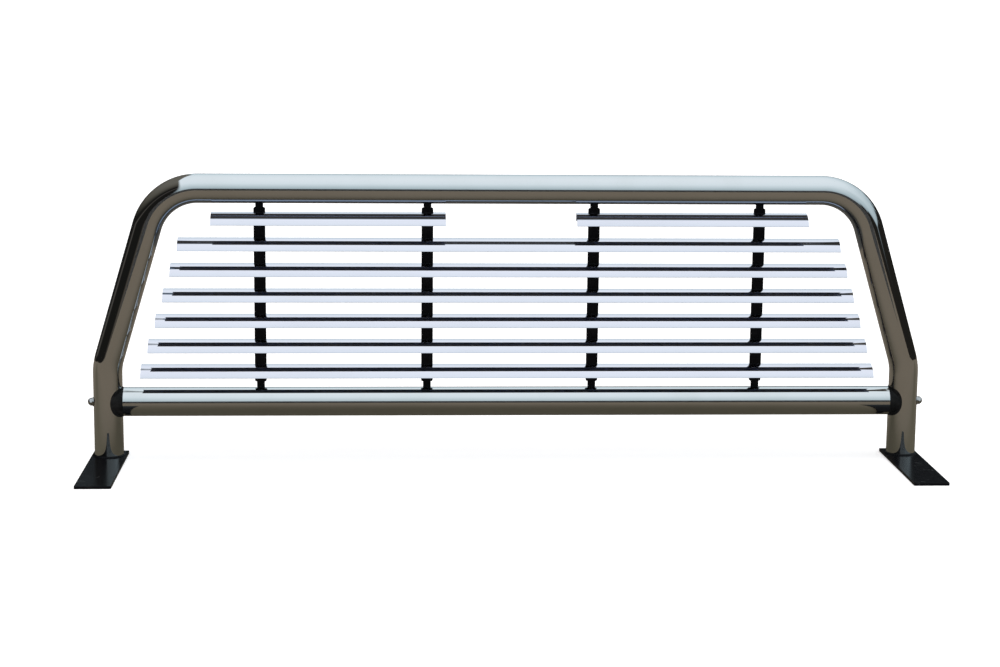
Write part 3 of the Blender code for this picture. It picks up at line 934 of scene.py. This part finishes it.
def make_saddle(side, leg, out):
    """A head with an oval front that lies a lip's height over the leg, and its plug."""
    seat = CLEARANCE - TUBE_RADIUS - SADDLE_WEB
    rim = SADDLE_WRAP - TUBE_RADIUS
    seat_middle = leg + out * seat
    head = [(seat, TUBE_RADIUS), (0.0, TUBE_RADIUS)]
    piece = lathe(f"moulded_saddle_{side}", leg, out, head, JOINT_SIDES)
    sleeve = rod_tool(leg, (0, 0, 1), SHORT_ROD, TUBE_RADIUS + SADDLE_LIP, TUBE_SIDES)
    combine(piece, "UNION", sleeve)
    oval = rod_tool(seat_middle, (0, 1, 0), SHORT_ROD, TUBE_RADIUS + CLEARANCE, TUBE_SIDES)
    edit(oval)
    bpy.ops.mesh.select_all(action="SELECT")
    width_share = (rim - seat) / TUBE_RADIUS
    bpy.ops.transform.resize(value=(width_share, 1, 1), center_override=tuple(seat_middle))
    close_edit()
    combine(piece, "INTERSECT", oval)
    bore = rod_tool(leg, out, LONG_ROD, STUD_HOLE_RADIUS, HOLE_SIDES)
    combine(piece, "DIFFERENCE", leg_rod(leg), bore)
    round_edges(piece, SADDLE_EDGE, 3, SQUARE_ANGLE)
    join(piece, saddle_plug(leg, out, seat))
    smooth(piece)
    return piece


print(f"saddle plug: {SPIGOT_LENGTH:.4f} long, in a bore {2 * (TUBE_RADIUS - TUBE_WALL):.4f} wide")

# %% [markdown]
# ## Washers and cap nuts
# Outside the leg, a curved washer and a cap nut hold the stud. The washer is turned, and a rod of
# the leg's size is cut out of it. The nut is a six-sided prism whose corners are trimmed by a
# turned shape, with a dome on top and a blind hole for the stud. The ends of the trimming shape are
# written as distances from the prism's two faces and shares of half its width across flats.

# %% Washers and cap nuts
WASHER_RADIUS = 0.0100
WASHER_RISE = 0.0022
WASHER_EDGE = 0.0005
EDGE_MIDDLE = 0.3
NUT_ACROSS_FLATS = 0.0160
NUT_HEX_HEIGHT = 0.0052
NUT_LOW_TRIM = ((-0.0010, 0.94), (0.0, 0.99))
NUT_HIGH_TRIM = ((0.0, 0.97), (0.0010, 0.90))
NUT_LOW_CHAMFER = 0.0008
NUT_HIGH_CHAMFER = 0.0011
NUT_TRIM_WIDTH = 1.01
NUT_DOME_HEIGHT = 0.0048
NUT_DOME_RIM = 0.0004
NUT_DOME_ROOT = 0.0010
NUT_DOME_SHARE = 0.90
NUT_DOME_STEPS = 12
NUT_WALL = 0.0025
NUT_SHARP_ANGLE = math.radians(25)


def make_washer(side, leg, out):
    face = TUBE_RADIUS + WASHER_RISE
    root = math.sqrt(TUBE_RADIUS ** 2 - WASHER_RADIUS ** 2) - WASHER_RISE
    inset = WASHER_EDGE * EDGE_MIDDLE
    profile = [(root, STUD_HOLE_RADIUS), (root, WASHER_RADIUS), (face - WASHER_EDGE, WASHER_RADIUS),
               (face - inset, WASHER_RADIUS - inset), (face, WASHER_RADIUS - WASHER_EDGE),
               (face, STUD_HOLE_RADIUS)]
    piece = lathe(f"curved_washer_{side}", leg, out, profile, JOINT_SIDES, bored=True)
    combine(piece, "DIFFERENCE", leg_rod(leg))
    smooth(piece)
    return piece


def nut_dome(leg, out, top, radius):
    """A dome that is sunk a little into the nut's top."""
    sunk = top - NUT_DOME_ROOT
    profile = [(sunk, NUT_ACROSS_FLATS / 4), (sunk, radius), (top + NUT_DOME_RIM, radius)]
    for step in range(1, NUT_DOME_STEPS):
        angle = math.pi / 2 * step / NUT_DOME_STEPS
        rise = NUT_DOME_RIM + (NUT_DOME_HEIGHT - NUT_DOME_RIM) * math.sin(angle)
        profile.append((top + rise, radius * math.cos(angle)))
    return lathe("dome", leg, out, profile, JOINT_SIDES)


def make_cap_nut(side, leg, out):
    base = TUBE_RADIUS + WASHER_RISE + CLEARANCE
    top = base + NUT_HEX_HEIGHT
    flat = NUT_ACROSS_FLATS / 2
    corner = flat / math.cos(math.pi / 6)
    piece = lathe(f"bright_cap_nut_{side}", leg, out, [(base, corner), (top, corner)], 6)
    wide = corner * NUT_TRIM_WIDTH
    trim = [(base + past, flat * share) for past, share in NUT_LOW_TRIM]
    trim += [(base + NUT_LOW_CHAMFER, wide), (top - NUT_HIGH_CHAMFER, wide)]
    trim += [(top + past, flat * share) for past, share in NUT_HIGH_TRIM]
    combine(piece, "INTERSECT", lathe("trim", leg, out, trim, JOINT_SIDES))
    combine(piece, "UNION", nut_dome(leg, out, top, flat * NUT_DOME_SHARE))
    hole_start = base - NUT_WALL
    hole_end = top + NUT_DOME_HEIGHT - NUT_WALL
    hole_middle = leg + out * (hole_start + hole_end) / 2
    hole = rod_tool(hole_middle, out, hole_end - hole_start, STUD_HOLE_RADIUS, HOLE_SIDES)
    combine(piece, "DIFFERENCE", hole)
    smooth(piece, NUT_SHARP_ANGLE)
    return piece


nut_height = NUT_HEX_HEIGHT + NUT_DOME_HEIGHT
print(f"cap nut: {nut_height:.4f} high, {NUT_ACROSS_FLATS:.4f} across flats")

# %% [markdown]
# ## Leg joints
# Each leg gets its joint in the order of fitting: saddle, washer, nut. The two sides differ only in
# where the leg stands and which way is out, so those two values are all that the functions need.

# %% Leg joints
for side, sign in (("left", -1), ("right", 1)):
    leg = Vector((sign * LEG_X, RACK_Y, CROSS_Z))
    out = Vector((sign, 0, 0))
    hand_over(make_saddle(side, leg, out), MOULDING, "black_moulding", f"saddle_{side}")
    washer = make_washer(side, leg, out)
    hand_over(washer, BRIGHT_FASTENER, "bright_fastener", f"saddle_washer_{side}")
    cap_nut = make_cap_nut(side, leg, out)
    hand_over(cap_nut, BRIGHT_FASTENER, "bright_fastener", f"cap_nut_{side}")

# %% [markdown]
# ## Pieces kept from the frame
# The studs and the threaded plugs sit inside the tubes. Their own solids are right as they are, so
# they only get a better finish in their material slots.

# %% Kept pieces
KEPT = [f"{kind}_{side}" for side in ("left", "right") for kind in ("stud", "end_plug")]
for name in KEPT:
    slots = NODES[name].data.materials
    slots.clear()
    slots.append(ZINC_PLATE)
print("kept from the frame:", ", ".join(KEPT))

# %% [markdown]
# ## The stage
# A mirror needs something to mirror. The floor is plain and pale, and it glows a little, so that
# the shadow on it stays faint. Reflections don't see it: they see cards and flags in its place.

# %% Floor
FLOOR_HALF = 400.0
FLOOR_COLOUR = (0.93, 0.86, 0.83, 1.0)
FLOOR_GLOW = 0.33
WHITE = (1.0, 1.0, 1.0, 1.0)


def stage_plane(name, half_width, half_length, place, turn=(0, 0, 0)):
    clear_selection()
    bpy.ops.mesh.primitive_plane_add(size=2, location=place, rotation=turn)
    bpy.context.object.scale = (half_width, half_length, 1)
    plane = settle(name)
    return plane


floor = stage_plane("floor", FLOOR_HALF, FLOOR_HALF, (0, 0, 0))
floor.visible_glossy = False
floor_finish, floor_shader, _ = new_finish("pale_floor", Roughness=0.9, Specular_IOR_Level=0.0,
                                           Emission_Strength=FLOOR_GLOW)
floor_shader.inputs["Emission Color"].default_value = WHITE
floor_shader.inputs["Base Color"].default_value = FLOOR_COLOUR
floor.data.materials.append(floor_finish)
print("floor:", [round(length) for length in floor.dimensions])

# %% [markdown]
# A grey-brown card lies on the ground, darker near the rack in a painted shadow of the rack, and a
# second card carries it on at the front right. A low dark flag stands where the card ends, a few
# metres in front. One stands behind, which the feet mirror: it rises to the right, where the foot
# is the darker one.
# Real things at real distances make each tube meet the horizon at its own height, which a far-off
# backdrop can't do.

# %% Cards and flags
CARD_HALF_DEPTH = 3.0
CARD_HALF_WIDTH = 40.0
CARD_LIFT = 0.0002
# the card darkens towards the rack: a painted shadow of the rack
CARD_TONES_WITH_RACK_SHADOW = ((0.10, (0.130, 0.110, 0.078)), (0.35, (0.166, 0.137, 0.104)),
               (0.70, (0.186, 0.150, 0.114)))
SIDE_CARD_EDGE = 2.5
SIDE_CARD_HALF = 6.0
FLAG_X = 0.3
FLAG_HALF_WIDTH = 2.2
FLAG_HALF_HEIGHT = 0.36
FLAG_SHADE = 0.07
BACK_FLAG_HALF_WIDTH = 6.0
BACK_FLAG_HALF_HEIGHT = 0.60
BACK_FLAG_SLOPE = math.radians(8.3)
BACK_FLAG_SHADE = 0.02


def reflect_only(plane):
    plane.visible_camera = False
    plane.visible_diffuse = False
    plane.visible_shadow = False


card = stage_plane("ground_card", CARD_HALF_WIDTH, CARD_HALF_DEPTH, (0, RACK_Y, CARD_LIFT))
side_place = (SIDE_CARD_EDGE + SIDE_CARD_HALF, RACK_Y - CARD_HALF_DEPTH - SIDE_CARD_HALF, CARD_LIFT)
side_card = stage_plane("side_card", SIDE_CARD_HALF, SIDE_CARD_HALF, side_place)
card_finish, card_shader, card_spot = new_finish("ground_card", Roughness=1.0,
                                                 Specular_IOR_Level=0.0)
card_depth = card_spot.add("ShaderNodeSeparateXYZ", None, {"Vector": card_spot}, "Y")
card_reach = card_spot.math("ABSOLUTE", RACK_Y - card_depth, 0.0)
# painted shadow: darker the nearer the rack
connect(card_shader.inputs["Base Color"], ramp(card_reach, *CARD_TONES_WITH_RACK_SHADOW))

front_place = (FLAG_X, RACK_Y - CARD_HALF_DEPTH, FLAG_HALF_HEIGHT)
flag = stage_plane("dark_flag", FLAG_HALF_WIDTH, FLAG_HALF_HEIGHT, front_place,
                   (math.pi / 2, 0, 0))
back_place = (0, RACK_Y + CARD_HALF_DEPTH, BACK_FLAG_HALF_HEIGHT)
back_flag = stage_plane("back_flag", BACK_FLAG_HALF_WIDTH, BACK_FLAG_HALF_HEIGHT, back_place,
                        (math.pi / 2, -BACK_FLAG_SLOPE, 0))


def flag_finish(name, shade):
    material, shader, _ = new_finish(name, Roughness=1.0, Specular_IOR_Level=0.0)
    shader.inputs["Base Color"].default_value = (shade, shade, shade, 1.0)
    return material


finishes = (card_finish, card_finish, flag_finish("dark_flag", FLAG_SHADE),
            flag_finish("back_flag", BACK_FLAG_SHADE))
for plane, finish in zip((card, side_card, flag, back_flag), finishes):
    plane.data.materials.append(finish)
    reflect_only(plane)
    print("stage:", plane.name, finish.name)

# %% [markdown]
# The light is a soft dome, brighter and whiter towards the top, with one wide lamp that reflections
# don't see. The dome has a dark ragged rim at the sides and behind, where the black pieces need
# something dark to reflect. A notch in the rim draws a bright streak down the right corner, and a
# tall dark side on the left keeps that corner of the hoop from turning white, as in the photo.
# Rises are sines of the angle above the horizon, and each ramp reads its own scale.

# %% Sky dome
RIM_AT_SIDES = 0.37
RIM_BEHIND = 0.20
RIM_RAGGED = 1.50
NOTCH_FRONT = 0.456
NOTCH_RISE = 0.062
NOTCH_SLOPE = 0.40
SKY_SHADES = ((0.495, (0.018, 0.017, 0.015)), (0.520, (0.46, 0.58, 0.65)),
              (0.570, (0.57, 0.71, 0.79)), (0.650, (0.68, 0.83, 0.91)),
              (0.854, (0.98, 1.12, 1.22)), (1.0, (1.06, 1.18, 1.28)))

world = bpy.data.worlds.new("studio")
bpy.context.scene.world = world
world.use_nodes = True
sky = Wire(world.node_tree)
sky_way = sky.add("ShaderNodeTexCoord", out="Generated")
across, along, rise = (sky.add("ShaderNodeSeparateXYZ", None, {"Vector": sky_way}, axis)
                       for axis in "XYZ")
aside = across * across
behind = sky.math("MAXIMUM", along, 0.0)
raggedness = noise(sky_way, scale=14, detail=5, stretch=(1, 1, 0.2)) - 0.5
side_rim = aside * RIM_AT_SIDES + raggedness * aside * RIM_RAGGED
notch = sky.math("ABSOLUTE", along + NOTCH_FRONT, 0.0) * NOTCH_SLOPE + NOTCH_RISE
above_rim = rise - sky.math("MINIMUM", side_rim, notch) - behind * RIM_BEHIND
sky_shade = ramp(above_rim * 0.5 + 0.5, *SKY_SHADES)
print("sky shades:", len(SKY_SHADES))

# %% [markdown]
# The left side is nearly black, with a paler band at mid height and a slow fade towards the top.
# The camera itself sees plain white behind the rack.

# %% Dark left side and lamp
LEFT_BLACK = (0.012, 0.012, 0.011)
LEFT_SHADES = ((0.155, (0.085, 0.076, 0.064)), (0.195, LEFT_BLACK), (0.422, LEFT_BLACK),
               (0.452, (0.105, 0.098, 0.090)), (0.482, LEFT_BLACK), (0.548, LEFT_BLACK),
               (0.710, (0.110, 0.105, 0.088)), (0.860, (0.170, 0.165, 0.145)))
LEFT_LEAN = 0.3
LEFT_SCALE = 0.6
LEFT_HORIZON = 0.35
LEFT_EDGE = 0.63
LEFT_FULL = 0.67
LEFT_OVERHANG = 0.25
LAMP_ENERGY = 1.60
LAMP_SPREAD = math.radians(70)

left_shade = ramp((rise + along * LEFT_LEAN) * LEFT_SCALE + LEFT_HORIZON, *LEFT_SHADES)
overhead = sky.math("MAXIMUM", rise - behind, 0.0)
left_side = mask(0.5 - across - overhead * LEFT_OVERHANG, LEFT_EDGE, LEFT_FULL)
surroundings = mix(left_side, sky_shade, left_shade)
camera_ray = sky.add("ShaderNodeLightPath", out="Is Camera Ray")
backdrop = mix(camera_ray, surroundings, WHITE)
connect(world.node_tree.nodes["Background"].inputs["Color"], backdrop)

lamp_data = bpy.data.lights.new("floor_lamp", "SUN")
lamp_data.energy = LAMP_ENERGY
lamp_data.angle = LAMP_SPREAD
lamp = bpy.data.objects.new("floor_lamp", lamp_data)
lamp.visible_glossy = False
bpy.context.scene.collection.objects.link(lamp)
bpy.context.scene.view_settings.view_transform = "Standard"
print("dome and lamp set")
